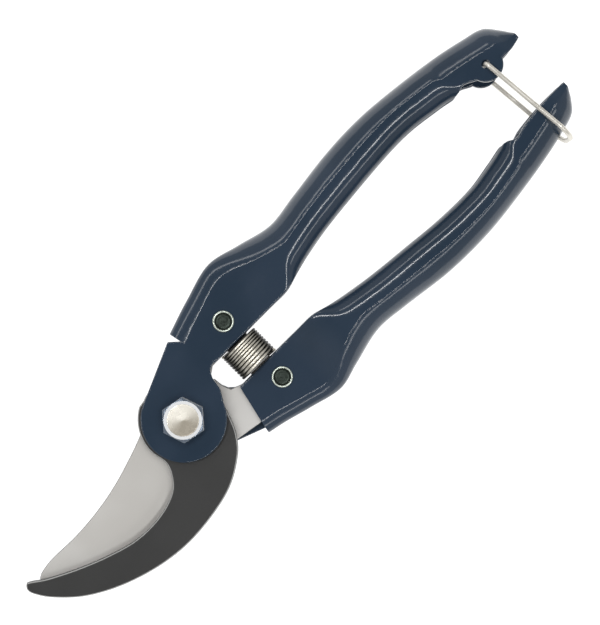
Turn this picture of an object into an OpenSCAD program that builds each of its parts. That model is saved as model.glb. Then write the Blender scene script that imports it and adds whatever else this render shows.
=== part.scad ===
// Bypass pruning shears with pressed-steel handles, closed and latched.
// Millimetres. The pivot runs along Z through X = Y = 0, the handles point
// along +X, and the rear face of the pivot nut lies in the plane Z = 0.

/* [Overall] */
// Reach from the pivot to the ends of the handles
handle_len = 140.5; // [115:0.5:175]
// Reach from the pivot to the tip of the hook
jaw_len = 64.6; // [52:0.2:80]

/* [Sheet and plates] */
// Thickness of the pressed handle sheet
sheet_t = 1.6; // [1.2:0.1:2]
// Thickness of the hook
hook_t = 3.2; // [2.4:0.1:4]
// Thickness of the cutting blade
blade_t = 3.2; // [2.4:0.1:4]
// Paint film between a handle wall and the tang it holds
paint_gap = 0.03; // [0.01:0.01:0.05]
// Play between the two jaws, and between disc and washer
slide_gap = 0.05; // [0.02:0.01:0.1]

/* [Handles] */
// Depth of the rolled grips
grip_depth = 15; // [12:0.5:18]
// Turn of the grip's inner edges, so 90 would close the section
edge_curl = 78; // [60:1:84]
// Radius of the pivot discs
disc_r = 12; // [10:0.5:14]

/* [Pivot] */
// Diameter of the pivot bolt's shank
pivot_d = 7; // [5.5:0.1:8.5]
// Radial play of a turning hole on its pin
pin_play = 0.05; // [0.02:0.01:0.09]
// Bolt head and nut across their flats
hex_af = 11; // [10:0.5:14]
// Height of the bolt's head
head_h = 3.7; // [3:0.1:5]
// Height of the nut
nut_h = 3.6; // [3:0.1:5]
// Diameter of the washer under the nut
washer_d = 13; // [12:0.5:16]
// Thickness of the washer
washer_t = 1; // [0.6:0.1:1.6]

/* [Rivets] */
// Diameter of a rivet's shank
rivet_d = 4.8; // [4:0.1:5.8]
// Diameter of a rivet's rolled front rim
rim_d = 6; // [5.4:0.1:7.4]
// Diameter of a rivet's rear head
rivet_head_d = 7.6; // [7:0.1:9]

/* [Spring] */
// Outer diameter of the return spring
spring_od = 12.5; // [10:0.1:14]
// Diameter of the spring's wire
spring_wire = 1; // [0.8:0.05:1.2]
// Distance of the spring's axis from the pivot
spring_x = 25.5; // [24:0.5:27]
// Turns of the spring
spring_turns = 8; // [6:1:9]

/* [Latch] */
// Diameter of the latch wire
latch_d = 1.4; // [1.1:0.1:1.8]
// Side room between the latch wire's legs and the grips
latch_side = 0.4; // [0.3:0.1:1]
// Room between the closed latch's bow and the grip's back
latch_room = 1.9; // [1.9:0.1:3]
// Radius of the lugs that carry the latch wire
lug_r = 4.9; // [3.5:0.1:6]

/* [Hidden] */
$fn = 64;

// ---- Levels along the pivot, from the nut's rear face upwards ----
washer_z = nut_h;
rear_disc_z = washer_z + washer_t + slide_gap;
blade_z = rear_disc_z + sheet_t + paint_gap;
mid_z = blade_z + blade_t + slide_gap / 2;
hook_z = mid_z + slide_gap / 2;
front_disc_z = hook_z + hook_t + paint_gap;
head_z = front_disc_z + sheet_t;
grip_front = mid_z + grip_depth / 2;
grip_rear = mid_z - grip_depth / 2;

// ---- Stretch of the chosen outlines to the named reaches ----
NECK_X = 14.5;              // where the channel of each handle begins
GRIP_X = 46;                // where the rolled grip begins
TAIL_X = 118;               // where it ends
CHOSEN_HANDLE = 140.5;      // reach at which the handle outlines are chosen
CHOSEN_JAW = 64.6;          // reach at which the jaw outlines are chosen
JAW_X = -12;                // jaw outlines stretch beyond here

function along(x) =
    x < GRIP_X ? x :
    x > TAIL_X ? x + handle_len - CHOSEN_HANDLE :
    GRIP_X + (x - GRIP_X) * (TAIL_X - GRIP_X + handle_len - CHOSEN_HANDLE) / (TAIL_X - GRIP_X);
function jaw(p) =
    p[0] > JAW_X ? p :
    [JAW_X + (p[0] - JAW_X) * (jaw_len + JAW_X) / (CHOSEN_JAW + JAW_X), p[1]];

// ---- Curves ----
// A smooth height through [x, height] points, read at x.
function slope(t, i) =
    let (a = max(i - 1, 0), b = min(i + 1, len(t) - 1))
    (t[b][1] - t[a][1]) / (t[b][0] - t[a][0]);
function span_of(t, x, i = 0) = i >= len(t) - 2 || x < t[i + 1][0] ? i : span_of(t, x, i + 1);
function height(t, x) =
    let (i = span_of(t, x), h = t[i + 1][0] - t[i][0], u = (x - t[i][0]) / h)
    t[i][1] * (1 - u) * (1 - u) * (1 + 2 * u) + t[i + 1][1] * u * u * (3 - 2 * u)
    + h * u * (1 - u) * (slope(t, i) * (1 - u) - slope(t, i + 1) * u);

// A smooth line through points, with STEPS short chords between each two.
STEPS = 6;
function spot(p, i) = p[min(max(i, 0), len(p) - 1)];
function between(a, b, c, d, u) =
    (2 * b + (c - a) * u + (2 * a - 5 * b + 4 * c - d) * u * u
     + (3 * b - a - 3 * c + d) * u * u * u) / 2;
function flow(p) =
    [for (i = [0 : len(p) - 2]) for (k = [0 : STEPS - 1])
        between(spot(p, i - 1), p[i], p[i + 1], spot(p, i + 2), k / STEPS), p[len(p) - 1]];

// A gentle change from one value to another between two places.
function ease(x, x0, x1, v0, v1) =
    let (u = min(max((x - x0) / (x1 - x0), 0), 1)) v0 + (v1 - v0) * u * u * (3 - 2 * u);

// ---- Outlines of the handles: [place along X, distance from the mid line] ----
HOOK_BACK = [[14, 19.5], [24, 22.9], [35, 25.8], [45, 23.7], [55, 21.4], [65, 22.6],
             [80, 24.5], [93, 25], [105, 24.1], [120, 22.1], [130, 20], [136, 18.2],
             [139, 14.6], [140.5, 12]];
HOOK_EDGE = [[14, 5.3], [40, 5.3], [46, 5.4], [51, 6.6], [58, 8.2], [66, 9.6], [78, 10.9],
             [93, 12.1], [102, 12.1], [112, 10.8], [117, 10.1], [120, 11], [124, 9.2],
             [136, 8.7], [140.5, 9.5]];
BLADE_BACK = [[14, 19.4], [20, 20.7], [27, 22.7], [37, 25], [45, 23.1], [56, 20.6],
              [66, 21.4], [80, 23.2], [90, 23.6], [100, 23.2], [112, 21.7], [123, 19.9],
              [132, 17.9], [137, 16.2], [139.5, 13.3], [140.5, 11.2]];
BLADE_EDGE = [[14, 4.9], [40, 4.9], [46, 5], [51, 6.1], [58, 7.4], [66, 8.6], [78, 9.8],
              [90, 10.9], [102, 11], [111, 9.6], [117, 8.7], [120, 10.3], [124, 9.4],
              [132, 8.6], [140.5, 8.5]];

// ---- Section of a pressed channel ----
BEND_STEPS = 8;             // chords round the back
EDGE_STEPS = 4;             // chords round each inner edge
CURL_Y = 6;                 // half-width of the inner edge's curve
CURL_Z = 6;                 // half-height of the inner edge's curve
FLAT_CURL = 8;              // turn of an edge that is left flat

// One skin of the section, as [distance from the back, level] points, lying
// `deep` below the outer surface of a channel w wide between levels lo and hi.
function skin(w, lo, hi, bend, curl, deep) =
    let (mid = (lo + hi) / 2, c = w - CURL_Y * sin(curl))
    concat(
        [for (k = [EDGE_STEPS : -1 : 0]) let (b = curl * k / EDGE_STEPS)
            [c + (CURL_Y - deep) * sin(b), hi - CURL_Z + (CURL_Z - deep) * cos(b)]],
        [for (k = [0 : BEND_STEPS]) let (b = 90 - 180 * k / BEND_STEPS)
            [bend - (bend - deep) * cos(b), mid + ((hi - lo) / 2 - deep) * sin(b)]],
        [for (k = [0 : EDGE_STEPS]) let (b = curl * k / EDGE_STEPS)
            [c + (CURL_Y - deep) * sin(b), lo + CURL_Z - (CURL_Z - deep) * cos(b)]]);
function turned(p) = [for (i = [len(p) - 1 : -1 : 0]) p[i]];
function channel_section(w, lo, hi, bend, curl) =
    let (t = min(sheet_t, 0.4 * w), b = min(bend, 0.8 * w))
    concat(skin(w, lo, hi, b, curl, 0), turned(skin(w, lo, hi, b, curl, t)));

// A tube of equal rings of points, closed at both ends.
module loft(rings) {
    n = len(rings[0]);
    last = len(rings) - 1;
    walls = [for (i = [0 : last - 1]) for (j = [0 : n - 1])
        let (k = (j + 1) % n, a = i * n + j, b = i * n + k)
        each [[a, b, a + n], [b, b + n, a + n]]];
    polyhedron([for (r = rings) each r],
               concat(walls, [[for (j = [n - 1 : -1 : 0]) j]],
                      [[for (j = [0 : n - 1]) last * n + j]]));
}

// Places of the sections: even steps, closer together at the rounded tail.
STATION = 3.6;
TAIL_STATIONS = [131, 133.5, 135.5, 137, 138.2, 139.2, 140, 140.5];
STATIONS = concat([for (x = [NECK_X : STATION : 130]) x], TAIL_STATIONS);

// The pressed channel of one handle. side is 1 above the mid line and -1 below;
// slant leans the open end at the neck, and fades out along the handle.
SLANT = 0.23;
RISE_X = 32.5;              // the walls run flat up to here, past the rivets
module channel(side, back, edge, head_lo, head_hi, head_bend, grip_bend) {
    loft([for (x = STATIONS)
        let (yo = height(back, x), w = yo - height(edge, x),
             lo = ease(x, RISE_X, 50, head_lo, grip_rear),
             hi = ease(x, RISE_X, 50, head_hi, grip_front),
             bend = ease(x, RISE_X, 50, head_bend, grip_bend),
             curl = ease(x, 44, 55, FLAT_CURL, edge_curl)
                    - ease(x, 114, 120, 0, edge_curl - FLAT_CURL),
             lean = ease(x, NECK_X, 34, SLANT, 0),
             ring = channel_section(w, lo, hi, bend, curl))
        [for (p = side > 0 ? ring : turned(ring))
            [along(x) + lean * (p[0] - 3), side * (yo - p[0]), p[1]]]]);
}

// ---- Plates ----
module plate(outline, z, t) {
    translate([0, 0, z]) linear_extrude(t) polygon(outline);
}
module hole(at, r) {
    translate([at[0], at[1], -1]) cylinder(r = r, h = grip_front + 2);
}
HOOK_RIVET = [27, 11.5];
BLADE_RIVET = [27.6, -11];
INSET = 0.05;               // keeps a neck plate inside the wall it joins

// ---- Jaw outlines ----
HOOK_OUTER = [[9.8, -7.6], [7.4, -13], [3, -18], [-6, -22.9], [-20, -25.2], [-32, -24.4],
              [-44, -20.9], [-54, -15.6], [-61, -9.2], [-64.2, -4.4], [-64.4, -2.2]];
HOOK_INNER = [[-63.4, -1.2], [-62, -2], [-58, -4.7], [-50, -8.7], [-42, -11.9], [-34, -14.2],
              [-27, -14.6], [-21, -13.7], [-16.2, -11.6], [-13.4, -8.3], [-12.2, -5],
              [-12.9, -1]];
TANG_END_X = 38;            // where both tangs end inside their channels
TANG_BACK = 5.4;            // from a tang's outer edge to the handle's back
SEAT_W = 7;                 // width of the tab that centres the spring
SEAT_H = 2.4;               // how far it reaches into the spring
HOOK_SEAT_Y = 4.9;          // edges that hold the two ends of the spring
BLADE_SEAT_Y = -4.5;

// A tang's tab: a square tongue from the seat's edge into the spring.
module seat_tab(seat_y, side, z, t) {
    translate([spring_x - SEAT_W / 2, side > 0 ? seat_y - SEAT_H : seat_y - 1, z])
        cube([SEAT_W, SEAT_H + 1, t]);
}
function tang_back(back) =
    [for (x = [16 : 3.6 : TANG_END_X]) [x, height(back, x) - TANG_BACK]];

module hook_plate() {
    heel = [for (a = [176 : -8 : 120]) 13 * [cos(a), sin(a)]];
    outline = concat([for (p = flow(HOOK_INNER)) jaw(p)], heel, tang_back(HOOK_BACK),
                     [[TANG_END_X, HOOK_SEAT_Y], [16, HOOK_SEAT_Y], [12.6, 2.5]],
                     [for (p = flow(HOOK_OUTER)) jaw(p)]);
    color([0.23, 0.23, 0.22]) difference() {
        union() {
            plate(outline, hook_z, hook_t);
            seat_tab(HOOK_SEAT_Y, 1, hook_z, hook_t);
        }
        hole([0, 0], pivot_d / 2 + pin_play);
        hole(HOOK_RIVET, rivet_d / 2 + pin_play);
    }
}

BLADE_EDGE_LINE = [[-60.6, -3.6], [-56, -8.6], [-48, -13.4], [-38, -17.2], [-27, -18.9],
                   [-17, -18], [-8, -15.2], [0, -14.6], [6.5, -14.6]];
BLADE_SPINE = [[-12, 5.6], [-18, 3.4], [-27, 0.7], [-36, -1], [-45, -1.7], [-54, -1.5],
               [-58.6, -2.1], [-60.4, -3]];
BLADE_NECK = [[15, -3.3], [14, -1.1], [13.6, 2]];

module cutting_blade() {
    tang = [for (p = tang_back(BLADE_BACK)) [p[0], -p[1]]];
    shoulder = [for (a = [12 : 8 : 140]) 12.6 * [cos(a), sin(a)]];
    outline = concat([for (p = flow(BLADE_EDGE_LINE)) jaw(p)], [[14.4, -15.9]], tang,
                     [[TANG_END_X, BLADE_SEAT_Y], [18, BLADE_SEAT_Y]], flow(BLADE_NECK),
                     shoulder, [for (p = flow(BLADE_SPINE)) jaw(p)]);
    color([0.8, 0.8, 0.78]) difference() {
        union() {
            plate(outline, blade_z, blade_t);
            seat_tab(BLADE_SEAT_Y, -1, blade_z, blade_t);
        }
        hole([0, 0], pivot_d / 2 + pin_play);
        hole(BLADE_RIVET, rivet_d / 2 + pin_play);
    }
}

// ---- Handles ----
LUG = [128.5, 10.4];        // where the latch wire turns
function lug_at() = [along(LUG[0]), LUG[1]];

// The neck wall that reaches from a channel to its pivot disc.
module neck(outline, z) {
    translate([0, 0, z + INSET]) linear_extrude(sheet_t - 2 * INSET) union() {
        circle(r = disc_r);
        polygon(outline);
    }
}

module hook_handle() {
    arm = [[-disc_r * sin(24), disc_r * cos(24)], [12, 18.4], [15.5, 15.2], [22, 16.8],
           [22, 5.5], [17.5, 5.5], [14.9, 4.6], [13.8, 2.6], [13.2, -1], [11.5, -4]];
    eye = latch_d / 2 + pin_play;
    color([0.15, 0.2, 0.28]) difference() {
        union() {
            channel(1, HOOK_BACK, HOOK_EDGE, front_disc_z - hook_t - sheet_t - 2 * paint_gap,
                    head_z, 4.8, 6.4);
            neck(arm, front_disc_z);
            for (z = [grip_rear, grip_front - sheet_t])
                translate([lug_at()[0], lug_at()[1], z + INSET])
                    cylinder(r = lug_r, h = sheet_t - 2 * INSET);
        }
        hole([0, 0], pivot_d / 2 + pin_play);
        hole(HOOK_RIVET, rivet_d / 2 + pin_play);
        hole(lug_at(), eye);
    }
}

module blade_handle() {
    arm = [[disc_r * sin(20), -disc_r * cos(20)], [5.9, -14.9], [15, -18.3], [18, -15.4],
           [22, -16.4], [22, -5.1], [19, -4.7], [16.3, -4], [14.6, -2.4], [13.6, 0],
           [11.4, 3.8]];
    color([0.15, 0.2, 0.28]) difference() {
        union() {
            channel(-1, BLADE_BACK, BLADE_EDGE, rear_disc_z,
                    blade_z + blade_t + sheet_t + paint_gap, 3.8, 6.2);
            neck(arm, rear_disc_z);
        }
        hole([0, 0], pivot_d / 2 + pin_play);
        hole(BLADE_RIVET, rivet_d / 2 + pin_play);
    }
}

// ---- Pivot ----
HEX_TURN = 48.5;            // where the first corner of the head points
FACE_R = hex_af / 2 - 0.1;  // radius of a hexagon's flat end face
// A hexagon with its corners turned off at 30 degrees on the upper or lower end.
module hexagon(z, h, turn, up) {
    r = hex_af / 2 / cos(30);
    over = r + 1;
    drop = (over - FACE_R) * tan(30);
    translate([0, 0, z]) intersection() {
        rotate(turn) cylinder(r = r, h = h, $fn = 6);
        rotate_extrude()
            polygon(up ? [[0, -1], [over, -1], [over, h - drop], [FACE_R, h], [0, h]]
                       : [[0, 0], [FACE_R, 0], [over, drop], [over, h + 1], [0, h + 1]]);
    }
}

module pivot_bolt() {
    tip = 0.4;              // chamfer of the shank's end
    color([0.82, 0.8, 0.76]) union() {
        difference() {
            hexagon(head_z, head_h, HEX_TURN, true);
            // the turned face is dished a little
            translate([0, 0, head_z + head_h - 0.35]) cylinder(r1 = 4.1, r2 = 4.46, h = 1);
        }
        translate([0, 0, tip]) cylinder(d = pivot_d, h = head_z - tip);
        rotate_extrude() polygon([[0, 0], [pivot_d / 2 - tip, 0], [pivot_d / 2, tip], [0, tip]]);
    }
}

module pivot_nut() {
    color([0.78, 0.77, 0.74]) difference() {
        hexagon(0, nut_h, 12, false);
        hole([0, 0], pivot_d / 2 + pin_play);
    }
}

module pivot_washer() {
    color([0.7, 0.7, 0.68]) difference() {
        translate([0, 0, washer_z]) cylinder(d = washer_d, h = washer_t);
        hole([0, 0], pivot_d / 2 + pin_play);
    }
}

// ---- Rivets: a round rear head, a shank, and a rolled, dished front rim ----
module rivet(at, lo, hi) {
    r = rivet_d / 2;
    rim = rim_d / 2;
    head = rivet_head_d / 2;
    proud = 0.6;            // height of the rolled rim
    color([0.72, 0.74, 0.7]) translate([at[0], at[1], 0]) rotate_extrude()
        polygon([[0, lo - 1.3], [head * 0.5, lo - 1.2], [head * 0.85, lo - 0.75], [head, lo],
                 [r, lo], [r, hi], [rim, hi], [rim, hi + proud * 0.6], [rim - 0.3, hi + proud],
                 [rim - 0.6, hi + proud * 0.7], [rim - 0.9, hi - 0.5], [0, hi - 0.3]]);
}
module hook_rivet() {
    rivet(HOOK_RIVET, hook_z - paint_gap - sheet_t, head_z);
}
module blade_rivet() {
    rivet(BLADE_RIVET, rear_disc_z, blade_z + blade_t + paint_gap + sheet_t);
}

// ---- Return spring: closed coils between the two seats ----
COIL_STEPS = 18;            // rings in one turn
WIRE_SIDES = 6;
module return_spring() {
    r = (spring_od - spring_wire) / 2;
    room = 0.05;            // between the end turns and their seats
    from = BLADE_SEAT_Y + room + spring_wire / 2;
    rise = HOOK_SEAT_Y - BLADE_SEAT_Y - 2 * room - spring_wire;
    rings = spring_turns * COIL_STEPS;
    color([0.75, 0.74, 0.7]) loft([for (i = [0 : rings])
        let (a = 360 * i / COIL_STEPS, y = from + rise * i / rings)
        [for (k = [0 : WIRE_SIDES - 1])
            let (b = 360 * k / WIRE_SIDES, q = r + spring_wire / 2 * cos(b))
            [spring_x + q * cos(a), y + spring_wire / 2 * sin(b), mid_z - q * sin(a)]]]);
}

// ---- Latch wire: two legs and a bow, with its ends turned into the lugs ----
LATCH_X = 131.2;            // where the closed bow crosses the grip's back
LATCH_CORNER = 5.5;         // radius of the bow's corners
PIN_BEND = 1.1;             // radius of the bends into the lugs
module bend(at, z, r, from) {
    translate([at, 0, z]) rotate([90, 0, 0]) rotate([0, 0, from])
        rotate_extrude(angle = 90) translate([r, 0]) circle(d = latch_d);
}
module latch_wire() {
    bow = [along(LATCH_X), -(height(BLADE_BACK, LATCH_X) + latch_room + latch_d / 2)];
    reach = norm(bow - lug_at());
    aim = atan2(bow[1] - lug_at()[1], bow[0] - lug_at()[0]);
    out = grip_depth / 2 + latch_side + latch_d / 2;
    pin_z = grip_depth / 2 - sheet_t - 1;
    color([0.78, 0.75, 0.7]) translate([lug_at()[0], lug_at()[1], mid_z]) rotate(aim)
    union() {
        for (s = [1, -1]) mirror([0, 0, s < 0 ? 1 : 0]) {
            translate([0, 0, pin_z]) cylinder(d = latch_d, h = out - PIN_BEND - pin_z);
            bend(PIN_BEND, out - PIN_BEND, PIN_BEND, 90);
            translate([PIN_BEND, 0, out]) rotate([0, 90, 0])
                cylinder(d = latch_d, h = reach - PIN_BEND - LATCH_CORNER);
            bend(reach - LATCH_CORNER, out - LATCH_CORNER, LATCH_CORNER, 0);
        }
        translate([reach, 0, LATCH_CORNER - out])
            cylinder(d = latch_d, h = 2 * (out - LATCH_CORNER));
    }
}

hook_handle();
blade_handle();
hook_plate();
cutting_blade();
pivot_bolt();
pivot_nut();
pivot_washer();
hook_rivet();
blade_rivet();
return_spring();
latch_wire();
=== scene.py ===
import math

import bpy
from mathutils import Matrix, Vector


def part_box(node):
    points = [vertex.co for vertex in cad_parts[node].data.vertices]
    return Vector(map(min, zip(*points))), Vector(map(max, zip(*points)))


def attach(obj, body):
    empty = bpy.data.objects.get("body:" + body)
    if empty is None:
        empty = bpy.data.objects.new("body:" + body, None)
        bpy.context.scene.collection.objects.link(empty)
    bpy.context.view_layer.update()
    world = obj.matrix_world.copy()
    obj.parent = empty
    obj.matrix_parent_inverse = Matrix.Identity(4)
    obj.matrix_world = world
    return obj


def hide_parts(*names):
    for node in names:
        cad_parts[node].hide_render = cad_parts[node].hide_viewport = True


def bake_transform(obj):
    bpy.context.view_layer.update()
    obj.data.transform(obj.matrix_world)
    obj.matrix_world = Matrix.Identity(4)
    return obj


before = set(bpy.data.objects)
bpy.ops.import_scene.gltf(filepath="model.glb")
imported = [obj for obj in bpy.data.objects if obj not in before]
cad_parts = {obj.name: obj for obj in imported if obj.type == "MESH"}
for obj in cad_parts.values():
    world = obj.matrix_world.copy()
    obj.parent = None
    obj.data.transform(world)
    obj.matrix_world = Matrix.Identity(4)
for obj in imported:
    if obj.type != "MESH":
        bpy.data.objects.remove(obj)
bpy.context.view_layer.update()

# Bypass pruning shears, closed and latched. Metres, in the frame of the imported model:
# the pivot runs along Z through X = Y = 0 and the handles point along +X.
MM = 0.001

# ---- Levels and places read from the frame ----
BLADE_REAR, BLADE_FRONT = (c.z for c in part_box("cutting_blade"))
HOOK_REAR, HOOK_FRONT = (c.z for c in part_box("hook_plate"))
GRIP_REAR, GRIP_FRONT = (c.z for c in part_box("hook_handle"))
BOLT_LOW, BOLT_TOP = (c.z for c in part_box("pivot_bolt"))
WASHER_REAR, WASHER_FRONT = (c.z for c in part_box("pivot_washer"))
NUT_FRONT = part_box("pivot_nut")[1].z
WASHER_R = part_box("pivot_washer")[1].x
MID = (GRIP_REAR + GRIP_FRONT) / 2
HOOK_RIVET = tuple((a + b) / 2 for a, b in zip(*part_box("hook_rivet")))
BLADE_RIVET = tuple((a + b) / 2 for a, b in zip(*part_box("blade_rivet")))

# ---- Sizes that several pieces share ----
SHEET = 1.6 * MM                # thickness of the pressed handle sheet
FILM = 0.03 * MM                # paint between a wall and the tang behind it
FRONT_DISC = HOOK_FRONT + FILM  # rear face of the hook handle's disc
HEAD = FRONT_DISC + SHEET       # front face that the bolt's head bears on
REAR_DISC = BLADE_REAR - FILM - SHEET   # rear face of the blade handle's disc
HOOK_WALLS = ((HOOK_REAR - FILM - SHEET) / MM, HEAD / MM)   # outer levels at the head, in mm
BLADE_WALLS = (REAR_DISC / MM, (BLADE_FRONT + FILM + SHEET) / MM)
DISC_R = 12                     # radius of the handles' discs, in mm
PIVOT_R = 3.5 * MM
RIVET_R = 2.4 * MM
PLAY = 0.05 * MM                # between a hole and what turns or sits in it
SUNK = 0.01 * MM                # keeps joined walls from sharing one plane
EDGE_BREAK = 0.3 * MM           # broken edges of the sheet and of the blade
TWIN = 0.0005 * MM              # points closer than this are made one
THROUGH = 0.1                   # a drill longer than any piece is deep, in metres
ROUND_STEPS = 72                # chords of a turned piece and of a hole


# ---- Hand work: thin wrappers round the mesh operators ----
def put_down():
    """Leaves edit mode with nothing selected."""
    if bpy.context.mode != "OBJECT":
        bpy.ops.object.mode_set(mode="OBJECT")
    bpy.ops.object.select_all(action="DESELECT")


def pick_up(piece):
    """Makes piece the only selected object."""
    put_down()
    piece.select_set(True)
    bpy.context.view_layer.objects.active = piece
    return piece


def edit(piece, mode="VERT"):
    """Opens piece in edit mode with nothing selected."""
    pick_up(piece)
    bpy.ops.object.mode_set(mode="EDIT")
    bpy.ops.mesh.select_mode(type=mode)
    bpy.ops.mesh.select_all(action="DESELECT")


def pick(piece, kind, test):
    """Selects the vertices, edges or faces of piece that pass test, in edit mode."""
    bpy.ops.object.mode_set(mode="OBJECT")
    mesh = piece.data
    for part in (mesh.vertices, mesh.edges, mesh.polygons):
        part.foreach_set("select", [False] * len(part))
    for item in getattr(mesh, kind):
        item.select = test(item)
    bpy.ops.object.mode_set(mode="EDIT")


def named(name):
    """The piece that an operator has just added, under its own name."""
    piece = bpy.context.object
    piece.name = name
    piece.data.name = name
    return piece


def merge(gap=TWIN):
    """Makes one point of those that lie within gap, in edit mode, and leaves all selected."""
    bpy.ops.mesh.select_all(action="SELECT")
    bpy.ops.mesh.remove_doubles(threshold=gap)


def cap():
    """Fills the open ends and gaps of the piece that is in edit mode."""
    bpy.ops.mesh.select_all(action="DESELECT")
    bpy.ops.mesh.select_non_manifold()
    bpy.ops.mesh.fill_holes(sides=0)


def settle(piece):
    """Merges doubles, turns every face outwards and leaves edit mode."""
    edit(piece)
    merge()
    bpy.ops.mesh.normals_make_consistent(inside=False)
    put_down()
    return piece


def finish_with(piece, kind, **settings):
    """Adds a modifier and applies it."""
    pick_up(piece)
    modifier = piece.modifiers.new(kind.lower(), kind)
    for key, value in settings.items():
        setattr(modifier, key, value)
    bpy.ops.object.modifier_apply(modifier=modifier.name)
    return piece


def combine(piece, tool, how):
    """Joins, cuts or keeps the common part of piece and tool, and uses the tool up."""
    finish_with(piece, "BOOLEAN", operation=how, object=tool, solver="EXACT")
    bpy.data.objects.remove(tool)
    return piece


def smooth(piece, angle=32):
    """Smooth shading up to an angle, with large flat faces kept truly flat."""
    pick_up(piece)
    bpy.ops.object.shade_smooth_by_angle(angle=math.radians(angle))
    finish_with(piece, "WEIGHTED_NORMAL", keep_sharp=True)
    put_down()
    return piece


def plate(name, outline, low, high):
    """A flat plate: a filled ring laid along the outline and drawn up from low to high."""
    put_down()
    bpy.ops.mesh.primitive_circle_add(vertices=len(outline), fill_type="NGON")
    piece = named(name)
    for corner, (x, y) in zip(piece.data.vertices, outline):
        corner.co = (x, y, low)
    edit(piece)
    bpy.ops.mesh.select_all(action="SELECT")
    bpy.ops.mesh.extrude_region_move(TRANSFORM_OT_translate={"value": (0, 0, high - low)})
    return settle(piece)


def lofted(name, rings):
    """A closed tube through equal rings of points: a grid wrapped round them and capped."""
    put_down()
    sides = len(rings[0])
    bpy.ops.mesh.primitive_grid_add(x_subdivisions=sides, y_subdivisions=len(rings) - 1)
    piece = named(name)
    spots = [ring[i % sides] for ring in rings for i in range(sides + 1)]
    for corner, spot in zip(piece.data.vertices, spots):
        corner.co = spot
    edit(piece)
    merge()
    cap()
    return settle(piece)


def turned(name, profile, at=(0, 0)):
    """A piece turned on a lathe: a closed profile of (radius, level) points spun about Z."""
    put_down()
    bpy.ops.mesh.primitive_circle_add(vertices=len(profile), fill_type="NOTHING")
    piece = named(name)
    for corner, (r, z) in zip(piece.data.vertices, profile):
        corner.co = (at[0] + r, at[1], z)
    edit(piece)
    on_axis = {i for i, (r, _) in enumerate(profile) if r < TWIN}
    pick(piece, "edges", lambda e: set(e.vertices) <= on_axis)
    bpy.ops.mesh.delete(type="EDGE_FACE")
    bpy.ops.mesh.select_all(action="SELECT")
    bpy.ops.mesh.spin(steps=ROUND_STEPS, angle=math.tau, center=(at[0], at[1], 0),
                      axis=(0, 0, 1))
    return settle(piece)


def drilled(piece, at, radius):
    """Cuts a round hole along Z right through piece."""
    put_down()
    bpy.ops.mesh.primitive_cylinder_add(
        vertices=ROUND_STEPS, radius=radius, depth=THROUGH, location=(at[0], at[1], MID))
    return combine(piece, named("drill"), "DIFFERENCE")


def rounded(piece, width, segments=3, angle=42):
    """Breaks the sharp edges of piece, after its flat faces are made whole again."""
    edit(piece, "FACE")
    pick(piece, "polygons", lambda f: abs(f.normal.z) > 0.9999)
    bpy.ops.mesh.dissolve_limited(angle_limit=math.radians(0.5))
    finish_with(piece, "BEVEL", width=width, segments=segments, limit_method="ANGLE",
                angle_limit=math.radians(angle), use_clamp_overlap=False)
    return piece


# ---- Curves ----
def slope(table, i):
    """The slope at point i of a table, from its neighbours."""
    (x0, y0), (x1, y1) = table[max(i - 1, 0)], table[min(i + 1, len(table) - 1)]
    return (y1 - y0) / (x1 - x0)


def height(table, x):
    """A smooth height through (x, height) points, read at x."""
    i = 0
    while i < len(table) - 2 and x >= table[i + 1][0]:
        i += 1
    (x0, y0), (x1, y1) = table[i], table[i + 1]
    h = x1 - x0
    u = (x - x0) / h
    ends = y0 * (1 - u) ** 2 * (1 + 2 * u) + y1 * u * u * (3 - 2 * u)
    return ends + h * u * (1 - u) * (slope(table, i) * (1 - u) - slope(table, i + 1) * u)


def ease(x, x0, x1, v0, v1):
    """A smooth change from v0 to v1 while x goes from x0 to x1."""
    u = min(max((x - x0) / (x1 - x0), 0), 1)
    return v0 + (v1 - v0) * u * u * (3 - 2 * u)


def flow(points, steps=8):
    """A smooth line through (x, y) points."""
    line = []
    for i in range(len(points) - 1):
        a, b, c, d = (Vector(points[min(max(i + k, 0), len(points) - 1)]) for k in (-1, 0, 1, 2))
        for k in range(steps):
            u = k / steps
            line.append((2 * b + (c - a) * u + (2 * a - 5 * b + 4 * c - d) * u * u
                         + (3 * b - a - 3 * c + d) * u ** 3) / 2)
    return line + [Vector(points[-1])]


def arc(radius, start, end, steps):
    """Points on a circle about the pivot, between two angles in degrees."""
    angles = [math.radians(start + (end - start) * k / steps) for k in range(steps + 1)]
    return [(radius * math.cos(a), radius * math.sin(a)) for a in angles]


def in_mm(points):
    """Turns points in mm into metres."""
    return [tuple(c * MM for c in p) for p in points]


# ---- Outlines of the handles in mm: (place along X, distance from the mid line) ----
HOOK_BACK = [(14, 19.5), (24, 22.9), (35, 25.8), (45, 23.7), (55, 21.4), (65, 22.6), (80, 24.5),
             (93, 25), (105, 24.1), (120, 22.1), (130, 20), (136, 18.2), (139, 14.6), (140.5, 12)]
HOOK_EDGE = [(14, 5.3), (40, 5.3), (46, 5.4), (51, 6.6), (58, 8.2), (66, 9.6), (78, 10.9),
             (93, 12.1), (102, 12.1), (112, 10.8), (117, 10.1), (120, 11), (124, 9.2), (136, 8.7),
             (140.5, 9.5)]
BLADE_BACK = [(14, 19.4), (20, 20.7), (27, 22.7), (37, 25), (45, 23.1), (56, 20.6), (66, 21.4),
              (80, 23.2), (90, 23.6), (100, 23.2), (112, 21.7), (123, 19.9), (132, 17.9),
              (137, 16.2), (139.5, 13.3), (140.5, 11.2)]
BLADE_EDGE = [(14, 4.9), (40, 4.9), (46, 5), (51, 6.1), (58, 7.4), (66, 8.6), (78, 9.8), (90, 10.9),
              (102, 11), (111, 9.6), (117, 8.7), (120, 10.3), (124, 9.4), (132, 8.6), (140.5, 8.5)]
NECK_X = 14.5                   # where each pressed channel begins
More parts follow.
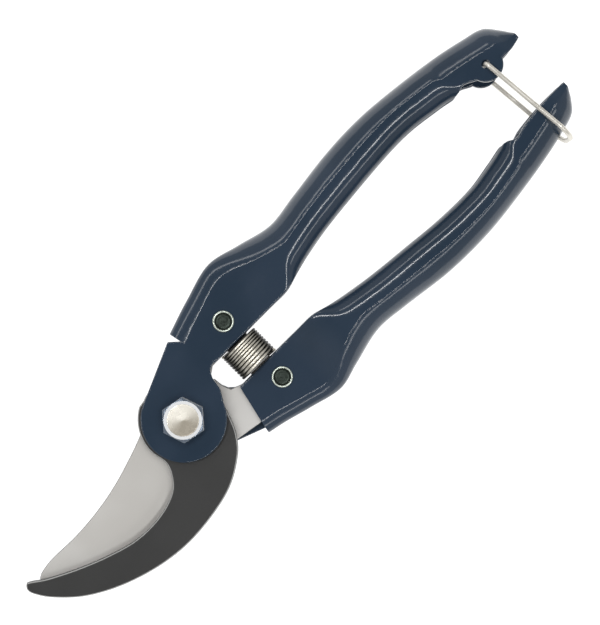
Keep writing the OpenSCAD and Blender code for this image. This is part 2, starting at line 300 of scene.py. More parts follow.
RISE = 32.5, 50                 # where its flat walls rise from the head into the grip
ROLL_UP = 44, 55                # where its inner edges roll up
ROLL_OUT = 114, 120             # where they open out again
TAIL_X = 130                    # where its sections are set closer together
PINCH_X, PINCH = 133, 1.6       # where its end starts to thin, and by how much on each face
END_X = 140.5
STATION, TAIL_STATION, TAIL_STATIONS = 1.1, 0.6, 22
HOOK_BENDS, BLADE_BENDS = (4.8, 6.4), (3.8, 6.2)    # back to crease, at the head and the grip
LEAN, LEAN_END = 0.23, 34       # slant of the sections at the neck, and where it is gone
LEAN_FROM = 3                   # the distance from the back about which they slant
GLINT_W = 0.1                     # the painted crease highlight reaches this far on each side of a crease
GLINT_HEAD, GLINT_GRIP = 3, 0.3     # off the mid-plane at the head, and in from the grip's face
CURL = 6                        # radius of the inner edges' curve
FLAT = 8                        # turn of an inner edge that is left flat, in degrees
ROLLED = 78                     # turn of a rolled inner edge
CREASE = math.radians(25)       # how sharply the back bend breaks from the front wall
CREASE_ROUND = 0.35             # flat kept smooth on each side of the crease
EDGE_STEPS, BEND_STEPS = 8, 18
EDGE_ROUND_STEPS = 6            # chords round the sheet's free edge
EDGE_FULLNESS = 0.3             # how far that edge swells, as a share of the sheet
GRIP_LOW, GRIP_HIGH = GRIP_REAR / MM, GRIP_FRONT / MM


def skin(w, lo, hi, bend, curl, deep):
    """One skin of a channel's section: (distance from the back, level) points in mm."""
    c, mid = w - CURL * math.sin(curl), (lo + hi) / 2
    half, out = (hi - lo) / 2, CURL - deep
    edge = [(c + out * math.sin(b), CURL - out * math.cos(b))
            for b in (curl * k / EDGE_STEPS for k in range(EDGE_STEPS, -1, -1))]
    near = bend + min(CREASE_ROUND, 0.4 * (c - bend))
    wall = [((c + near) / 2, deep), (near, deep)]
    turns = [(math.pi / 2 - CREASE) * (1 - 2 * k / BEND_STEPS) for k in range(BEND_STEPS + 1)]
    back = [(deep + (bend - deep) * (1 - math.cos(b)) / (1 - math.sin(CREASE)),
             mid + (half - deep) * math.sin(b) / math.cos(CREASE)) for b in turns]
    front = [(d, hi - z) for d, z in edge + wall]
    rear = [(d, lo + z) for d, z in reversed(edge + wall)]
    return front + back + rear


def section(w, lo, hi, bend, curl, sheet):
    """Both skins of a channel, joined round the free edges of the sheet."""
    outer, inner = skin(w, lo, hi, bend, curl, 0), skin(w, lo, hi, bend, curl, sheet)[::-1]
    return (outer + edge_round(outer[-1], inner[0], outer[-2])
            + inner + edge_round(inner[-1], outer[0], inner[-2]))


def edge_round(start, end, before):
    """Points of a half round that carries one skin's free end over to the other's."""
    start, end = Vector(start), Vector(end)
    out = (start - Vector(before)).normalized() * (end - start).length * EDGE_FULLNESS
    turns = [math.pi * k / EDGE_ROUND_STEPS for k in range(1, EDGE_ROUND_STEPS)]
    return [tuple((start + end) / 2 + (start - end) / 2 * math.cos(b) + out * math.sin(b))
            for b in turns]


def curl_at(x):
    """Turn of the inner edges, in radians."""
    return math.radians(ease(x, *ROLL_UP, FLAT, ROLLED) - ease(x, *ROLL_OUT, 0, ROLLED - FLAT))


def crease_at(x, w, head_bend, grip_bend):
    """Distance from the back to the crease of a channel w wide."""
    room = 0.8 * (w - CURL * math.sin(curl_at(x)))
    return min(ease(x, *RISE, head_bend, grip_bend), room)


def lean_at(x):
    """How far the sections slant at the neck, for each mm from the back."""
    return ease(x, NECK_X, LEAN_END, LEAN, 0)


def channel(name, side, back, edge, head_low, head_high, head_bend, grip_bend):
    """The pressed channel of one handle; side is 1 above the mid line and -1 below."""
    places = [NECK_X + STATION * k for k in range(int((TAIL_X - NECK_X) / STATION) + 1)]
    places += [TAIL_X + TAIL_STATION + (END_X - TAIL_X - TAIL_STATION) * k / TAIL_STATIONS
               for k in range(TAIL_STATIONS + 1)]
    rings = []
    for x in places:
        yo = height(back, x)
        w = yo - height(edge, x)
        lo, hi = ease(x, *RISE, head_low, GRIP_LOW), ease(x, *RISE, head_high, GRIP_HIGH)
        bend = crease_at(x, w, head_bend, grip_bend)
        pinch = ease(x, PINCH_X, END_X, 0, PINCH)
        lo, hi = lo + pinch, hi - pinch
        sheet = min(SHEET / MM, 0.4 * w)
        ring = section(w, lo, hi, bend, curl_at(x), sheet)
        rings.append([((x + lean_at(x) * (d - LEAN_FROM)) * MM, side * (yo - d) * MM, z * MM)
                      for d, z in ring])
    return lofted(name, rings)


def mark_crease_glints(shell, side, back, edge, head_bend, grip_bend):
    """Marks the outer vertices along a channel's creases, where a pale highlight line is painted.
    """
    marks = shell.data.attributes.new("crease_glint", "FLOAT", "POINT")
    for v, mark in zip(shell.data.vertices, marks.data):
        x, y, z = (c / MM for c in v.co)
        x -= lean_at(x) * (head_bend - LEAN_FROM)
        bend = crease_at(x, height(back, x) - height(edge, x), head_bend, grip_bend)
        past = height(back, x) - side * y - bend
        outside = abs(z - MID / MM) > ease(x, *RISE, GLINT_HEAD, GRIP_HIGH - MID / MM - GLINT_GRIP)
        mark.value = 1.0 if x > NECK_X and outside and abs(past) < GLINT_W else 0.0


LUG = (128.5 * MM, 10.4 * MM)   # where the latch wire turns
LUG_R = 4.9 * MM
EYE_R = 1.25 * MM               # the eye is worn wider than the wire


def neck(outline, low):
    """The flat wall that reaches from a channel round the pivot, with its edges broken."""
    wall = plate("neck", in_mm(outline), low + SUNK, low + SHEET - SUNK)
    return rounded(wall, EDGE_BREAK)


def make_hook_handle():
    """The upper channel, its neck and front disc, and the latch's two lugs."""
    shell = channel("hook_handle_shell", 1, HOOK_BACK, HOOK_EDGE, *HOOK_WALLS, *HOOK_BENDS)
    arm = [(11.5, -4), (13.2, -1), (13.8, 2.6), (14.9, 4.6), (17.5, 5.5), (22, 5.5), (22, 16.8),
           (15.5, 15.2), (12, 18.4)]
    combine(shell, neck(arc(DISC_R, 114, 341, 76) + arm, FRONT_DISC), "UNION")
    for low in (GRIP_REAR, GRIP_FRONT - SHEET):
        lug = [(LUG[0] + x, LUG[1] + y) for x, y in arc(LUG_R, 150, 390, 40)]
        eye = rounded(plate("lug", lug, low + SUNK, low + SHEET - SUNK), EDGE_BREAK)
        combine(shell, eye, "UNION")
    drilled(shell, (0, 0), PIVOT_R + PLAY)
    drilled(shell, HOOK_RIVET, RIVET_R + PLAY)
    drilled(shell, LUG, EYE_R)
    mark_crease_glints(shell, 1, HOOK_BACK, HOOK_EDGE, *HOOK_BENDS)
    return smooth(shell)


def make_blade_handle():
    """The lower channel with its neck and rear disc."""
    shell = channel("blade_handle_shell", -1, BLADE_BACK, BLADE_EDGE, *BLADE_WALLS, *BLADE_BENDS)
    arm = [(5.9, -14.9), (15, -18.3), (18, -15.4), (22, -16.4), (22, -5.1), (19, -4.7),
           (16.3, -4), (14.6, -2.4), (13.6, 0)]
    combine(shell, neck(arc(DISC_R, 18.4, 290, 90) + arm, REAR_DISC), "UNION")
    drilled(shell, (0, 0), PIVOT_R + PLAY)
    drilled(shell, BLADE_RIVET, RIVET_R + PLAY)
    mark_crease_glints(shell, -1, BLADE_BACK, BLADE_EDGE, *BLADE_BENDS)
    return smooth(shell)


# ---- Jaws ----
HOOK_OUTER = [(9.8, -7.6), (7.4, -13), (3, -18), (-6, -22.9), (-20, -25.2), (-32, -24.4),
              (-44, -20.9), (-54, -15.6), (-61, -9.2), (-64.2, -4.4), (-64.4, -2.2)]
HOOK_INNER = [(-63.4, -1.2), (-62, -2), (-58, -4.7), (-50, -8.7), (-42, -11.9), (-34, -14.2),
              (-27, -14.6), (-21, -13.7), (-16.2, -11.6), (-13.4, -8.3), (-12.2, -5), (-12.9, -1)]
BLADE_LINE = [(-60.6, -3.6), (-56, -8.6), (-48, -13.4), (-38, -17.2), (-27, -18.9), (-17, -18),
              (-8, -15.2), (0, -14.6), (6.5, -14.6)]
BLADE_SPINE = [(-12, 5.6), (-18, 3.4), (-27, 0.7), (-36, -1), (-45, -1.7), (-54, -1.5),
               (-58.6, -2.1), (-60.4, -3)]
BLADE_NECK = [(15, -3.3), (14, -1.1), (13.6, 2)]
TANG_START, TANG_END, TANG_BACK = 16, 38, 5.4   # the tangs' ends, and how far inside the back
HOOK_SEAT, BLADE_SEAT = 4.9, -4.5   # the spring's seats, as places along Y
SPRING_X, TAB_W, TAB_H = 25.5, 7, 2.4


def tang(back):
    """The back of a tang, which follows the handle's back from inside."""
    xs = [TANG_START + (TANG_END - TANG_START) * k / 12 for k in range(13)]
    return [(x, height(back, x) - TANG_BACK) for x in xs]


def tab(seat, out):
    """The square tongue of a tang that centres the spring."""
    a, b = SPRING_X - TAB_W / 2, SPRING_X + TAB_W / 2
    return [(b, seat), (b, seat + out), (a, seat + out), (a, seat)]


def make_hook_plate():
    """The forged hook and its tang, in one plate."""
    outline = (flow(HOOK_INNER) + arc(13, 176, 120, 10) + tang(HOOK_BACK)
               + [(TANG_END, HOOK_SEAT)] + tab(HOOK_SEAT, -TAB_H)
               + [(TANG_START, HOOK_SEAT), (12.6, 2.5)] + flow(HOOK_OUTER))
    hook = plate("hook", in_mm(outline), HOOK_REAR, HOOK_FRONT)
    drilled(hook, (0, 0), PIVOT_R + PLAY)
    drilled(hook, HOOK_RIVET, RIVET_R + PLAY)
    rounded(hook, 0.55 * MM, 4)
    return smooth(hook, 40)


GROUND = 5                      # width of the bevel ground on the blade's rear
LAND = 0.25                     # what the grinder leaves of the edge's thickness
GRIND_OUT, GRIND_IN = 2, 1      # how far the grinder reaches past each side of the bevel
TIP_SHARE, TIP_RUN = 0.25, 12   # the bevel's share of its width at the tip, and steps to all of it
HEEL_SHARE, HEEL_RUN = 0.15, 14
SLIVER = 0.004 * MM             # what grinding leaves closer than this is merged


def make_cutting_blade():
    """The blade and its tang in one plate, ground along the cutting edge."""
    outline = (flow(BLADE_LINE) + [(14.4, -15.9)] + [(x, -y) for x, y in tang(BLADE_BACK)]
               + [(TANG_END, BLADE_SEAT)] + tab(BLADE_SEAT, TAB_H)
               + [(18, BLADE_SEAT)] + flow(BLADE_NECK) + arc(12.6, 12, 132, 20)
               + flow(BLADE_SPINE))
    blade = plate("blade", in_mm(outline), BLADE_REAR, BLADE_FRONT)
    drilled(blade, (0, 0), PIVOT_R + PLAY)
    drilled(blade, BLADE_RIVET, RIVET_R + PLAY)
    rounded(blade, EDGE_BREAK, 3, 60)
    line = flow(BLADE_LINE[:-2])
    fall = (BLADE_FRONT - BLADE_REAR - LAND * MM) / GROUND
    line = [2 * line[0] - line[2]] + line
    rings = []
    for i, p in enumerate(line):
        way = (line[min(i + 1, len(line) - 1)] - line[max(i - 1, 0)]).normalized()
        inward = Vector((-way.y, way.x))
        from_tip = TIP_SHARE + (1 - TIP_SHARE) * i / TIP_RUN
        from_heel = HEEL_SHARE + (1 - HEEL_SHARE) * (len(line) - 1 - i) / HEEL_RUN
        width = GROUND * min(1, from_tip, from_heel)
        steep, reach = fall * GROUND / width, width + GRIND_IN
        wedge = [(-GRIND_OUT, GRIND_OUT * steep), (reach, -steep * reach),
                 (-GRIND_OUT, -steep * reach)]
        rings.append([((p + inward * n).x * MM, (p + inward * n).y * MM,
                       BLADE_FRONT - LAND * MM + z) for n, z in wedge])
    combine(blade, lofted("grinder", rings), "DIFFERENCE")
    edit(blade)
    merge(SLIVER)
    bpy.ops.mesh.dissolve_degenerate(threshold=SLIVER / 2)
    cap()
    return smooth(settle(blade), 30)


# ---- Pivot: bolt, nut and washer ----
HEX_R = 5.5 * MM                # from the axis to a flat
HEAD_TURN, NUT_TURN = 48.5, 12  # where the first corner points, in degrees
FACE_IN = 0.12 * MM             # from a flat to the round face that the chamfer leaves
HEX_BREAK = 0.04 * MM           # broken edges, narrower than half of that


def hexagon(name, low, high, turn, chamfer_low, chamfer_high):
    """A hexagon whose corners are turned off at 30 degrees on the ends that are asked for."""
    put_down()
    corner = HEX_R / math.cos(math.radians(30))
    bpy.ops.mesh.primitive_cylinder_add(
        vertices=6, radius=corner, depth=high - low, location=(0, 0, (low + high) / 2),
        rotation=(0, 0, math.radians(turn + 90)))
    block = named(name)
    bpy.ops.object.transform_apply(location=True, rotation=True, scale=True)
    face, over = HEX_R - FACE_IN, corner + MM
    drop = (over - face) * math.tan(math.radians(30))
    top = [(over, high - drop), (face, high)] if chamfer_high else [(over, high + MM)]
    foot = [(face, low), (over, low + drop)] if chamfer_low else [(over, low - MM)]
    ends = [(0, low if chamfer_low else low - MM)], [(0, high if chamfer_high else high + MM)]
    return combine(block, turned("cone", ends[0] + foot + top + ends[1]), "INTERSECT")


def make_pivot_bolt():
    """The bolt: its head, dished in front, and its plain shank."""
    bolt = hexagon("bolt", HEAD, BOLT_TOP, HEAD_TURN, False, True)
    shank = [(0, BOLT_LOW), (PIVOT_R - 0.4 * MM, BOLT_LOW), (PIVOT_R, BOLT_LOW + 0.4 * MM)]
    shank += [(PIVOT_R, HEAD + 0.5 * MM), (0, HEAD + 0.5 * MM)]
    combine(bolt, turned("shank", shank), "UNION")
    dish = [(0, BOLT_TOP - 0.1 * MM), (4.2 * MM, BOLT_TOP - 0.28 * MM),
            (4.4 * MM, BOLT_TOP - 0.24 * MM), (4.52 * MM, BOLT_TOP + 0.1 * MM),
            (4.6 * MM, BOLT_TOP + MM), (0, BOLT_TOP + MM)]
    combine(bolt, turned("dish", dish), "DIFFERENCE")
    rounded(bolt, HEX_BREAK, 2, 25)
    return smooth(settle(bolt), 35)


def make_pivot_nut():
    """The nut on the rear end of the bolt."""
    nut = hexagon("nut", 0, NUT_FRONT, NUT_TURN, True, False)
    rounded(nut, HEX_BREAK, 2, 25)
    drilled(nut, (0, 0), PIVOT_R + PLAY)
    return smooth(settle(nut), 35)


def make_pivot_washer():
    """The washer between the nut and the blade handle's disc."""
    inner = PIVOT_R + PLAY
    washer = turned("washer", [(inner, WASHER_REAR), (WASHER_R, WASHER_REAR),
                               (WASHER_R, WASHER_FRONT), (inner, WASHER_FRONT)])
    rounded(washer, 0.15 * MM, 2)
    return smooth(washer)


# ---- Rivets ----
def make_rivet(name, at, low, high):
    """A domed rear head, a shank and a rolled front rim round a dished core, in mm."""
    profile = [(0, low - 1.3), (1.9, low - 1.2), (3.2, low - 0.78), (3.65, low - 0.4), (3.8, low),
               (2.4, low), (2.4, high), (2.85, high), (3.0, high + 0.18), (2.96, high + 0.42),
               (2.78, high + 0.58), (2.56, high + 0.56), (2.42, high + 0.38), (2.34, high + 0.05),
               (2.2, high - 0.32), (1.7, high - 0.5), (0.9, high - 0.45), (0, high - 0.36)]
    return smooth(turned(name, in_mm(profile), at), 50)


# ---- Return spring ----
SPRING_WIRE, SPRING_OUT, SPRING_TURNS = 0.86, 12.5, 9.5
SPRING_GAP = 0.05               # left at each seat
SPRING_EASE = 0.35              # how far the middle turns shift towards the hook
WIRE_SIDES, COIL_STEPS = 12, 48


def make_return_spring():
    """One ring of wire screwed along the spring's axis, then eased apart near the blade."""
    put_down()
    radius = (SPRING_OUT - SPRING_WIRE) / 2 * MM
    bpy.ops.mesh.primitive_circle_add(
        vertices=WIRE_SIDES, radius=SPRING_WIRE / 2 * MM, location=(radius, 0, 0),
        rotation=(math.pi / 2, 0, 0))
    spring = named("return_coil")
    bpy.ops.object.transform_apply(location=True, rotation=True, scale=True)
    length = (HOOK_SEAT - BLADE_SEAT - SPRING_WIRE - 2 * SPRING_GAP) * MM
    steps = int(COIL_STEPS * SPRING_TURNS)
    finish_with(spring, "SCREW", angle=math.tau * SPRING_TURNS, screw_offset=length,
                steps=steps, render_steps=steps, axis="Z", use_smooth_shade=True)
    edit(spring)
    bpy.ops.mesh.select_non_manifold()
    bpy.ops.mesh.edge_face_add()
    bpy.ops.mesh.select_all(action="SELECT")
    bpy.ops.mesh.normals_make_consistent(inside=False)
    put_down()
    low = (BLADE_SEAT + SPRING_WIRE / 2 + SPRING_GAP) * MM
    for v in spring.data.vertices:
        share = v.co.z / length
        eased = v.co.z + SPRING_EASE * MM * math.sin(math.pi * min(max(share, 0), 1)) ** 2
        v.co = (SPRING_X * MM + v.co.x, low + eased, MID - v.co.y)
    spring.data.update()
    return smooth(settle(spring), 60)


# ---- Latch wire ----
LATCH_R = 0.7 * MM
BOW = Vector((131.2 * MM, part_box("latch_wire")[0].y + LATCH_R))  # beyond the blade handle
PIN_BEND, BOW_BEND = 1.1 * MM, 5.5 * MM
PIN = 3 * MM                    # how far each end reaches in through its lug


def make_latch_wire():
    """A bent wire: a path of edges with rounded corners, given its thickness as a curve."""
    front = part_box("latch_wire")[1].z - LATCH_R
    rear = 2 * MID - front
    corners = [(*LUG, front - PIN), (*LUG, front), (*BOW, front), (*BOW, rear), (*LUG, rear),
               (*LUG, rear + PIN)]
    put_down()
    bpy.ops.mesh.primitive_circle_add(vertices=len(corners), fill_type="NOTHING")
    wire = named("latch_bail")
    for corner, spot in zip(wire.data.vertices, corners):
        corner.co = spot
    edit(wire, "EDGE")
    pick(wire, "edges", lambda e: set(e.vertices) == {0, len(corners) - 1})
    bpy.ops.mesh.delete(type="EDGE_FACE")
    for places, offset in ((corners[2:4], BOW_BEND), ((corners[1], corners[4]), PIN_BEND)):
        bpy.ops.mesh.select_mode(type="VERT")
        pick(wire, "vertices",
             lambda v, p=places: any((v.co - Vector(c)).length < PLAY for c in p))
        bpy.ops.mesh.bevel(offset=offset, offset_type="OFFSET", segments=12, affect="VERTICES")
    put_down()
    pick_up(wire)
    bpy.ops.object.convert(target="CURVE")
    wire.data.bevel_depth = LATCH_R
    wire.data.bevel_resolution = 6
    wire.data.use_fill_caps = True
    bpy.ops.object.convert(target="MESH")
    return smooth(settle(wire), 60)


# ---- Materials ----
class Socket:
    """A value inside a material; Python's own operators on it add Math nodes."""

    def __init__(self, finish, out):
        self.finish, self.out = finish, out

    def math(self, operation, *values):
        return self.finish.node("ShaderNodeMath", {"operation": operation},
                                dict(enumerate(values)))

    def __add__(self, other):
        return self.math("ADD", self, other)

    def __radd__(self, other):
        return self.math("ADD", other, self)

    def __sub__(self, other):
        return self.math("SUBTRACT", self, other)

    def __rsub__(self, other):
        return self.math("SUBTRACT", other, self)

    def __mul__(self, other):
        return self.math("MULTIPLY", self, other)

    def __rmul__(self, other):
        return self.math("MULTIPLY", other, self)

    def __pow__(self, other):
        return self.math("POWER", self, other)

    def __abs__(self):
        return self.math("ABSOLUTE", self)

    def sine(self):
        return self.math("SINE", self)

    def step(self, low, high, start=0.0, end=1.0):
        """A smooth rise from start to end as the value goes from low to high."""
        return self.finish.node("ShaderNodeMapRange", {"interpolation_type": "SMOOTHSTEP"},
                                {0: self, 1: low, 2: high, 3: start, 4: end})


class Finish:
    """One material: a Principled shader and the nodes that vary it over the surface."""

    def __init__(self, name, **constants):
        self.material = bpy.data.materials.new(name)
        self.material.use_nodes = True
        self.tree = self.material.node_tree
        self.shader = self.tree.nodes["Principled BSDF"]
        for socket, value in constants.items():
            self.shader.inputs[socket.replace("_", " ")].default_value = value
        self.place = self.node("ShaderNodeTexCoord", {}, {}, "Object")

    def node(self, kind, settings, values, out=0):
        """Adds a node of that kind and gives one of its outputs."""
        made = self.tree.nodes.new(kind)
        for key, value in settings.items():
            setattr(made, key, value)
        for key, value in values.items():
            self.feed(made.inputs[key], value)
        return Socket(self, made.outputs[out])

    def feed(self, socket, value):
        """Links a value to a socket, or sets it there if it is a plain number or colour."""
        if isinstance(value, Socket):
            self.tree.links.new(value.out, socket)
        else:
            socket.default_value = value

    def noise(self, scale, detail, stretch=(1, 1, 1)):
        """Noise with features 1 / scale metres across, drawn out along an axis if asked."""
        where = self.place
        if stretch != (1, 1, 1):
            where = self.node("ShaderNodeMapping", {}, {"Vector": self.place, "Scale": stretch})
        return self.node("ShaderNodeTexNoise", {},
                         {"Vector": where, "Scale": scale, "Detail": detail}, "Fac")

    def blend(self, share, first, second):
        """A colour between two colours."""
        return self.node("ShaderNodeMix", {"data_type": "RGBA"},
                         {0: share, 6: first, 7: second}, 2)

    def along(self):
        """Places along X and along Y."""
        x = self.node("ShaderNodeSeparateXYZ", {}, {0: self.place}, "X")
        return x, Socket(self, x.out.node.outputs["Y"])

    def radius_from(self, at):
        """Distance from the vertical line through at."""
        x, y = (place - start for place, start in zip(self.along(), at))
        return (x * x + y * y) ** 0.5

    def facing_up(self):
        """How far the surface faces along the pivot: 1 on a flat front, 0 on a side."""
        normal = self.node("ShaderNodeTexCoord", {}, {}, "Normal")
        return self.node("ShaderNodeSeparateXYZ", {}, {0: normal}, "Z")

    def turn_about(self):
        """Angle round the pivot."""
        x, y = self.along()
        return x.math("ARCTAN2", y, x)

    def attribute(self, name):
        """A value that the mesh carries at its points."""
        return self.node("ShaderNodeAttribute", {"attribute_name": name}, {}, "Fac")

    def bump(self, height_value, depth):
        """Roughens the surface by a height of up to depth, in metres."""
        normal = self.node("ShaderNodeBump", {}, {"Height": height_value, "Distance": depth,
                                                   "Strength": 1.0})
        self.feed(self.shader.inputs["Normal"], normal)

    def set(self, **values):
        """Feeds sockets of the shader, with _ for the spaces in their names."""
        for socket, value in values.items():
            self.feed(self.shader.inputs[socket.replace("_", " ")], value)


def rgb(r, g, b):
    return (r, g, b, 1.0)


def handle_paint():
    """Glossy navy enamel over steel, with a faint orange peel and a pale highlight line painted
    along the creases.
    """
    paint = Finish("handle_paint", IOR=1.42, Coat_Roughness=0.04)
    broad = paint.noise(45, 2)
    ripple = paint.noise(110, 1)
    peel = paint.noise(420, 1)
    speckle = paint.noise(1100, 2)
    # Painted highlight: a pale grey line along the marked creases, broken by speckle, rougher and
    # without coat.
    crease_glint = (paint.attribute("crease_glint") + (speckle - 0.5) * 0.9).step(0.86, 1.08)
    navy = paint.blend(broad.step(0.35, 0.65), rgb(0.020, 0.035, 0.057), rgb(0.026, 0.042, 0.067))
    paint.set(Base_Color=paint.blend(crease_glint, navy, rgb(0.16, 0.17, 0.19)),
              Roughness=0.13 + speckle.step(0.3, 0.7, 0, 0.04) + crease_glint * 0.2,
              Coat_Weight=0.25 - crease_glint * 0.25)
    paint.bump(ripple + peel * 0.16, 0.2 * MM)
    return paint.material


def hook_coating():
    """Smooth dark grey coating on the forged hook, with a pale highlight painted on the slopes of
    its front edges.
    """
    coat = Finish("hook_coating", IOR=1.45)
    broad = coat.noise(60, 2)
    grain = coat.noise(2200, 2)
    up = coat.facing_up()
    # Painted highlight: pale grey on the front-facing slopes of the rounded edges, chosen by which
    # way they face.
    painted_edge_glint = up.step(0.8, 0.97, 1, 0) * up.step(0.35, 0.7)
    grey = coat.blend(broad.step(0.3, 0.7), rgb(0.019, 0.019, 0.0185), rgb(0.024, 0.024, 0.0235))
    coat.set(Base_Color=coat.blend(painted_edge_glint, grey, rgb(0.42, 0.42, 0.41)),
             Roughness=0.36 + grain.step(0.3, 0.7, 0, 0.08))
    coat.bump(grain, 0.008 * MM)
    return coat.material


def blade_steel():
    """Satin stainless steel, brushed along the blade, with painted shade on its sides."""
    steel = Finish("blade_steel")
    brushed = steel.noise(2600, 2, (0.05, 1, 1))
    cloud = steel.noise(38, 2)
    satin = steel.blend(cloud.step(0.3, 0.7), rgb(0.46, 0.445, 0.42), rgb(0.56, 0.55, 0.53))
    # Painted shade: the plate's near-vertical sides are turned almost black.
    side = abs(steel.facing_up()).step(0.6, 0.97, 1, 0)
    steel.set(Base_Color=steel.blend(side, satin, rgb(0.06, 0.06, 0.06)),
              Metallic=0.35,
              Roughness=0.46 + brushed.step(0.3, 0.7, 0, 0.06))
    steel.bump(brushed, 0.0015 * MM)
    return steel.material


def pivot_zinc():
    """Bright zinc plate: a turned dish with a painted reflection swept round the pivot, in a pale
    ring, and darker hexagon corners.
    """
    zinc = Finish("pivot_zinc")
    away = zinc.radius_from((0, 0))
    rings = (away * (math.tau / (0.3 * MM))).sine()
    # Painted reflection: the dish goes from dark bronze to pale cream with the angle round the
    # pivot, like a conical highlight.
    painted_streaks = (zinc.turn_about() + 0.4).sine()
    grain = zinc.noise(500, 1)
    core = zinc.blend(painted_streaks.step(-0.9, 0.9), rgb(0.42, 0.38, 0.31), rgb(0.98, 0.94, 0.84))
    ring = away.step(4.38 * MM, 4.5 * MM)
    corner = away.step(5.25 * MM, 5.4 * MM) * zinc.facing_up().step(0.4, 0.7)
    bright = zinc.blend(ring, core, rgb(0.74, 0.75, 0.76))
    zinc.set(Base_Color=zinc.blend(corner, bright, rgb(0.24, 0.29, 0.36)),
             Metallic=0.3 - ring * 0.3 + corner * 0.85,
             Roughness=0.24 + grain.step(0.3, 0.7, 0, 0.06) - corner * 0.12)
    zinc.bump(rings, 0.0025 * MM)
    return zinc.material


def rivet_steel(at):
    """A bright rolled rim round a dark core."""
    steel = Finish("rivet_steel", Metallic=0.85)
    away = steel.radius_from(at)
    grain = steel.noise(1500, 3)
    rim = away.step(2.3 * MM, 2.5 * MM)
    steel.set(Base_Color=steel.blend(rim, rgb(0.035, 0.045, 0.038), rgb(0.62, 0.68, 0.60)),
              Roughness=0.28 + grain.step(0.3, 0.7, 0, 0.2))
    steel.bump(grain, 0.03 * MM)
    return steel.material


def spring_steel():
    """Drawn spring wire, with painted shade on the sides of each turn and a painted highlight on
    its crowns.
    """
    wire = Finish("spring_steel", Metallic=0.8)
    drawn = wire.noise(900, 3)
    # Painted shade and highlight: near black where the wire faces sideways, pale where it faces
    # front or back.
    painted_shading = abs(wire.facing_up())
    bright = wire.blend(drawn.step(0.35, 0.65), rgb(0.72, 0.68, 0.58), rgb(0.88, 0.84, 0.74))
    wire.set(Base_Color=wire.blend(painted_shading.step(0.45, 0.9), rgb(0.03, 0.028, 0.024), bright),
             Roughness=0.3 + drawn.step(0.3, 0.7, 0, 0.08))
    wire.bump(drawn, 0.004 * MM)
    return wire.material


def latch_nickel():
    """Warm nickel plate on the latch wire."""
    wire = Finish("latch_nickel", Metallic=0.75)
    grain = wire.noise(160, 1)
    wire.set(Base_Color=wire.blend(grain.step(0.3, 0.7), rgb(0.70, 0.67, 0.60),
                                   rgb(0.78, 0.75, 0.68)),
             Roughness=0.34 + grain.step(0.3, 0.7, 0, 0.06))
    return wire.material


def dress(piece, material, body, node):
    """Gives a finished piece its material, slot and body, and hides the node it stands for."""
    piece.data.materials.clear()
    piece.data.materials.append(material)
    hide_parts(node)
    if body:
        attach(piece, body)
    return piece


# ---- Camera, light and floor ----
VIEW_AT, VIEW_W = (43.8 * MM, -1.8 * MM), 175   # middle of the view, and its width in mm
CAMERA_UP = 500                 # camera's height above the mid-plane, in mm
AIM = (0.04, 0, 0)              # middle of the shears, in metres
STRIP, WIDE_STRIP = (1.3, 0.05), (1.3, 0.1)     # lengths and widths of the lamps, in metres


def make_camera():
    """Straight above the mid-plane, turned so that the handles rise to the right."""
    data = bpy.data.cameras.new("camera")
    camera = bpy.data.objects.new("camera", data)
    bpy.context.scene.collection.objects.link(camera)
    camera.location = (*VIEW_AT, MID + CAMERA_UP * MM)
    camera.rotation_euler = (0, 0, math.radians(-45))
    data.sensor_width = 36
    data.lens = data.sensor_width * CAMERA_UP / VIEW_W
    data.clip_start, data.clip_end = 0.01, 10
    bpy.context.scene.camera = camera


def softbox(name, place, size, power):
    """A strip light that faces the middle of the shears."""
    data = bpy.data.lights.new(name, "AREA")
    data.shape = "RECTANGLE"
    data.size, data.size_y = size
    data.energy = power
    lamp = bpy.data.objects.new(name, data)
    bpy.context.scene.collection.objects.link(lamp)
    lamp.location = place
    aim = Vector(AIM) - Vector(place)
    lamp.rotation_euler = aim.to_track_quat("-Z", "Y").to_euler()


def make_floor():
    """A sheet just below the shears, which glows so that it stays white."""
    put_down()
    bpy.ops.mesh.primitive_plane_add(size=4, location=(0.04, 0, -0.0002))
    floor = named("floor")
    bpy.ops.object.transform_apply(location=True, rotation=True, scale=True)
    white = Finish("floor_white", Roughness=0.9)
    white.set(Base_Color=white.blend(white.noise(3, 2), rgb(0.38, 0.38, 0.38), rgb(0.4, 0.4, 0.4)))
    white.set(Emission_Color=rgb(1, 1, 1), Emission_Strength=0.92)
    floor.data.materials.append(white.material)


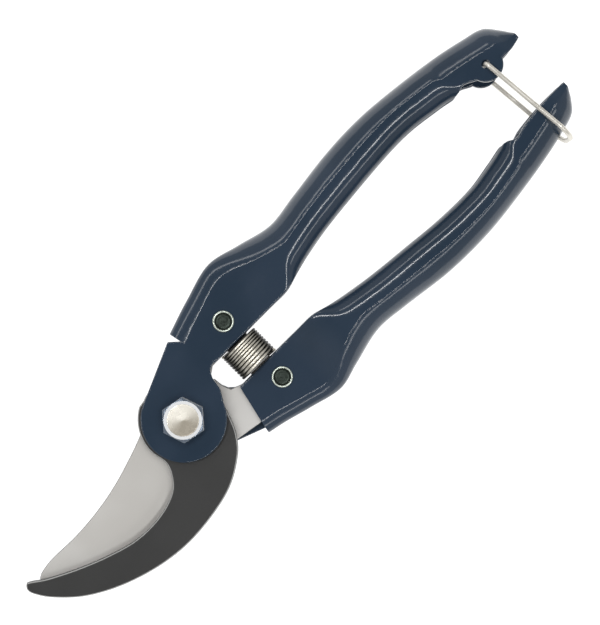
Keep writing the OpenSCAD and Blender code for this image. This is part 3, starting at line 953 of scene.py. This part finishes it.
def make_world():
    """Even light all round, dark overhead, so that flat faces reflect little of it."""
    world = bpy.data.worlds.new("studio")
    bpy.context.scene.world = world
    world.use_nodes = True
    tree = world.node_tree
    way = tree.nodes.new("ShaderNodeTexCoord")
    axes = tree.nodes.new("ShaderNodeSeparateXYZ")
    ramp = tree.nodes.new("ShaderNodeValToRGB")
    tree.links.new(way.outputs["Generated"], axes.inputs[0])
    tree.links.new(axes.outputs["Z"], ramp.inputs["Fac"])
    tree.links.new(ramp.outputs["Color"], tree.nodes["Background"].inputs["Color"])
    stops = ramp.color_ramp.elements
    stops[0].position, stops[0].color = 0.35, (1, 1, 1, 1)
    stops[1].position, stops[1].color = 0.93, (0.15, 0.15, 0.15, 1)
    tree.nodes["Background"].inputs["Strength"].default_value = 0.45


def make_studio():
    """The floor, the sky and four strip lights, whose narrow glints follow the creases."""
    make_floor()
    make_world()
    softbox("key", (0.0, 0.36, 1.0), STRIP, 5.5)
    softbox("fill", (0.1, -0.38, 1.0), STRIP, 4.5)
    softbox("side", (0.0, 1.0, 0.8), WIDE_STRIP, 2)
    softbox("low_side", (0.1, -1.0, 0.8), WIDE_STRIP, 2)
    bpy.context.scene.view_settings.view_transform = "Standard"


make_camera()
make_studio()
PAINT, COATING, ZINC = handle_paint(), hook_coating(), pivot_zinc()
dress(make_hook_handle(), PAINT, "hook_side", "hook_handle")
dress(make_blade_handle(), PAINT, "blade_side", "blade_handle")
dress(make_hook_plate(), COATING, "hook_side", "hook_plate")
dress(make_cutting_blade(), blade_steel(), "blade_side", "cutting_blade")
dress(make_pivot_bolt(), ZINC, "hook_side", "pivot_bolt")
dress(make_pivot_nut(), ZINC, "hook_side", "pivot_nut")
dress(make_pivot_washer(), ZINC, "hook_side", "pivot_washer")
dress(make_rivet("front_rivet", HOOK_RIVET, *HOOK_WALLS),
      rivet_steel(HOOK_RIVET), "hook_side", "hook_rivet")
dress(make_rivet("rear_rivet", BLADE_RIVET, *BLADE_WALLS),
      rivet_steel(BLADE_RIVET), "blade_side", "blade_rivet")
coil = dress(make_return_spring(), spring_steel(), None, "return_spring")
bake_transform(coil)
dress(make_latch_wire(), latch_nickel(), "latch", "latch_wire")
put_down()
